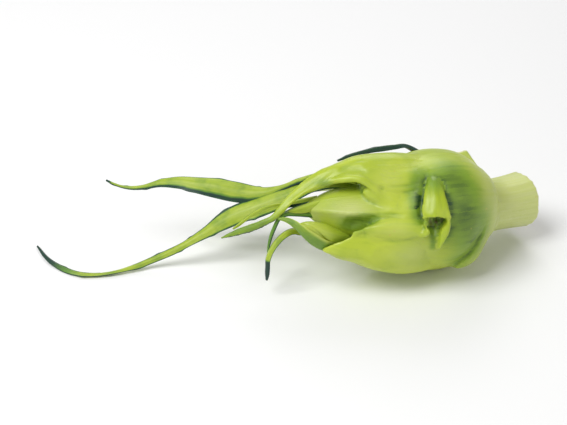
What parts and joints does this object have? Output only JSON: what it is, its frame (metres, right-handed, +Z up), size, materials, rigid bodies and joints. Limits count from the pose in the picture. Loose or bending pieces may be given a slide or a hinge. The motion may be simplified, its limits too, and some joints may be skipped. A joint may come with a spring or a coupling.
{
  "type": "puntarelle",
  "caption": "Puntarella chicory shoot, fresh cut and lying on its side: swollen ribbed stem with a pointed tip, clasping leaf bases and a fan of narrow leaves.",
  "frame": {"origin": "middle of the shoot's footprint, on the surface that it lies on", "axes": "+X from the pointed leaf tips towards the cut base, +Z up, front at -Y"},
  "size_m": [0.2128, 0.0634, 0.0505],
  "materials": {
    "stem_skin": "satin",
    "leaf_base": "satin",
    "leaf_blade": "satin",
    "dark_leaf": "satin",
    "bud_scale": "satin"
  },
  "bodies": {
    "root": {"stem": "stem_skin", "hood_leaf": "leaf_base", "front_leaf_base": "leaf_base", "side_sheath": "leaf_base", "back_leaf": "leaf_base", "back_leaf_base": "leaf_base", "cut_stalk": "leaf_base", "back_stalk": "leaf_base", "broad_leaf": "leaf_blade", "upper_leaf": "leaf_blade", "fan_leaf_1": "leaf_blade", "fan_leaf_2": "leaf_blade", "fan_leaf_3": "dark_leaf", "curled_leaf": "leaf_blade", "top_leaf": "dark_leaf", "tip_bract_upper": "bud_scale", "tip_bract_lower": "bud_scale", "side_bud_bract": "bud_scale", "side_bud": "bud_scale", "back_bud": "bud_scale"}
  },
  "joints": []
}
